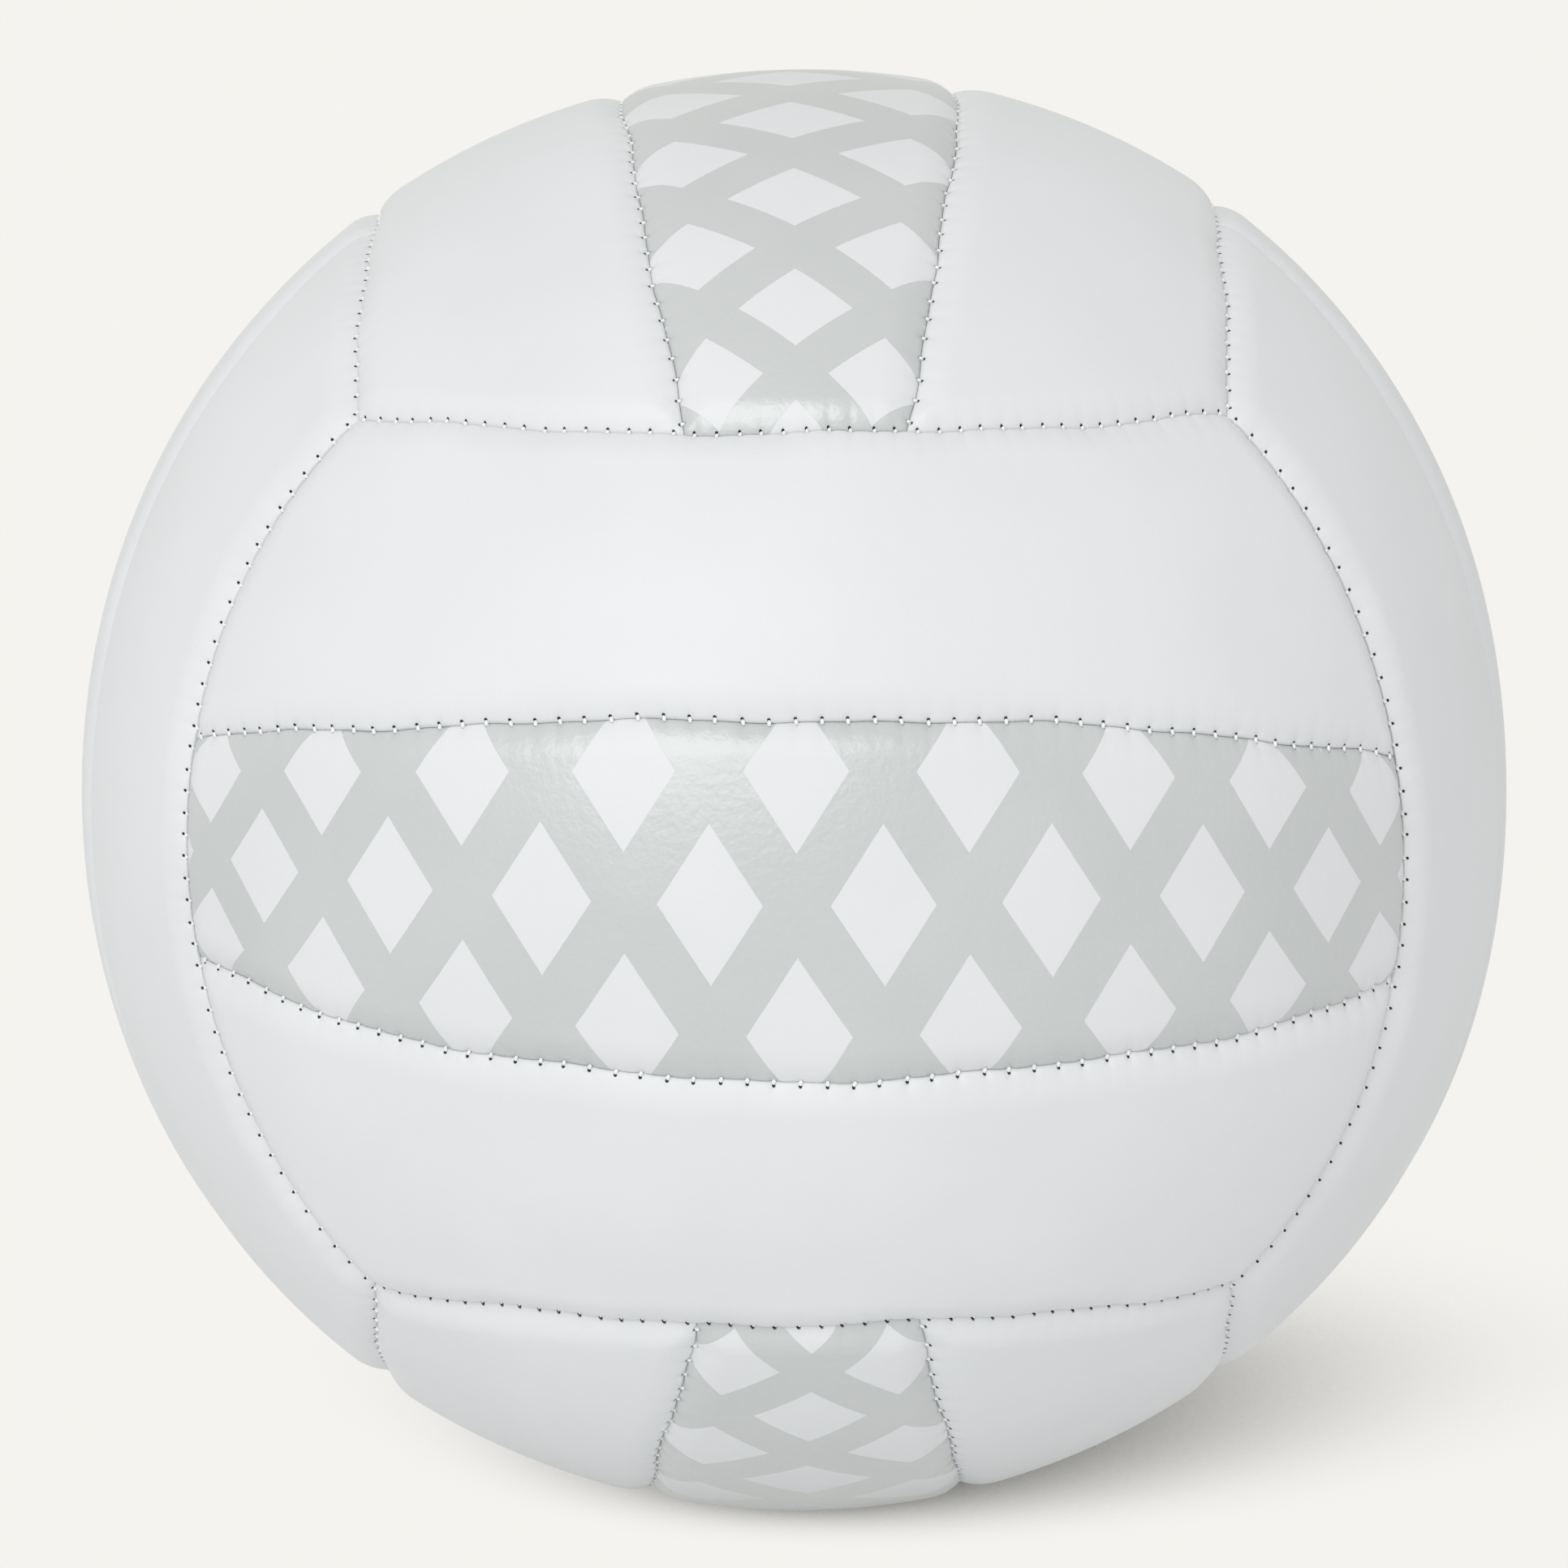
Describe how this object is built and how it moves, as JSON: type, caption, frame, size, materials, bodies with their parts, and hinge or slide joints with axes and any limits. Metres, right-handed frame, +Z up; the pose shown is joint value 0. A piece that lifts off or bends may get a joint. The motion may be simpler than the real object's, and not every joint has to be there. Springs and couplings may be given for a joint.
{
  "type": "volleyball",
  "caption": "Inflated volleyball of padded white panels in strips, sewn together at rolled seams over a rubber bladder, with a pearly bar print on its middle strips.",
  "frame": {"origin": "centre of the ball", "axes": "-Y out of the middle of the front face, whose strips run along X; +Y out of the needle hole in the back face; +Z up"},
  "size_m": [0.21, 0.2099, 0.21],
  "materials": {
    "white_leather": "satin",
    "printed_leather": "satin",
    "foam": "matte",
    "cloth": "matte",
    "butyl": "matte",
    "valve_rubber": "matte",
    "thread": "satin"
  },
  "bodies": {
    "root": {"cover_front_lower": "white_leather", "cover_front_middle": "printed_leather", "cover_front_upper": "white_leather", "cover_back_lower": "white_leather", "cover_back_middle": "printed_leather", "cover_back_upper": "white_leather", "cover_top_right": "white_leather", "cover_top_middle": "printed_leather", "cover_top_left": "white_leather", "cover_bottom_right": "white_leather", "cover_bottom_middle": "printed_leather", "cover_bottom_left": "white_leather", "cover_left_front": "white_leather", "cover_left_middle": "white_leather", "cover_left_rear": "white_leather", "cover_right_rear": "white_leather", "cover_right_middle": "white_leather", "cover_right_front": "white_leather", "foam_front_lower": "foam", "foam_front_middle": "foam", "foam_front_upper": "foam", "foam_back_lower": "foam", "foam_back_middle": "foam", "foam_back_upper": "foam", "foam_top_right": "foam", "foam_top_middle": "foam", "foam_top_left": "foam", "foam_bottom_right": "foam", "foam_bottom_middle": "foam", "foam_bottom_left": "foam", "foam_left_front": "foam", "foam_left_middle": "foam", "foam_left_rear": "foam", "foam_right_rear": "foam", "foam_right_middle": "foam", "foam_right_front": "foam", "lining_front_lower": "cloth", "lining_front_middle": "cloth", "lining_front_upper": "cloth", "lining_back_lower": "cloth", "lining_back_middle": "cloth", "lining_back_upper": "cloth", "lining_top_right": "cloth", "lining_top_middle": "cloth", "lining_top_left": "cloth", "lining_bottom_right": "cloth", "lining_bottom_middle": "cloth", "lining_bottom_left": "cloth", "lining_left_front": "cloth", "lining_left_middle": "cloth", "lining_left_rear": "cloth", "lining_right_rear": "cloth", "lining_right_middle": "cloth", "lining_right_front": "cloth", "bladder": "butyl", "valve_boot": "valve_rubber", "valve_insert": "valve_rubber", "face_seam_stitches": "thread", "strip_seam_stitches": "thread"}
  },
  "joints": []
}
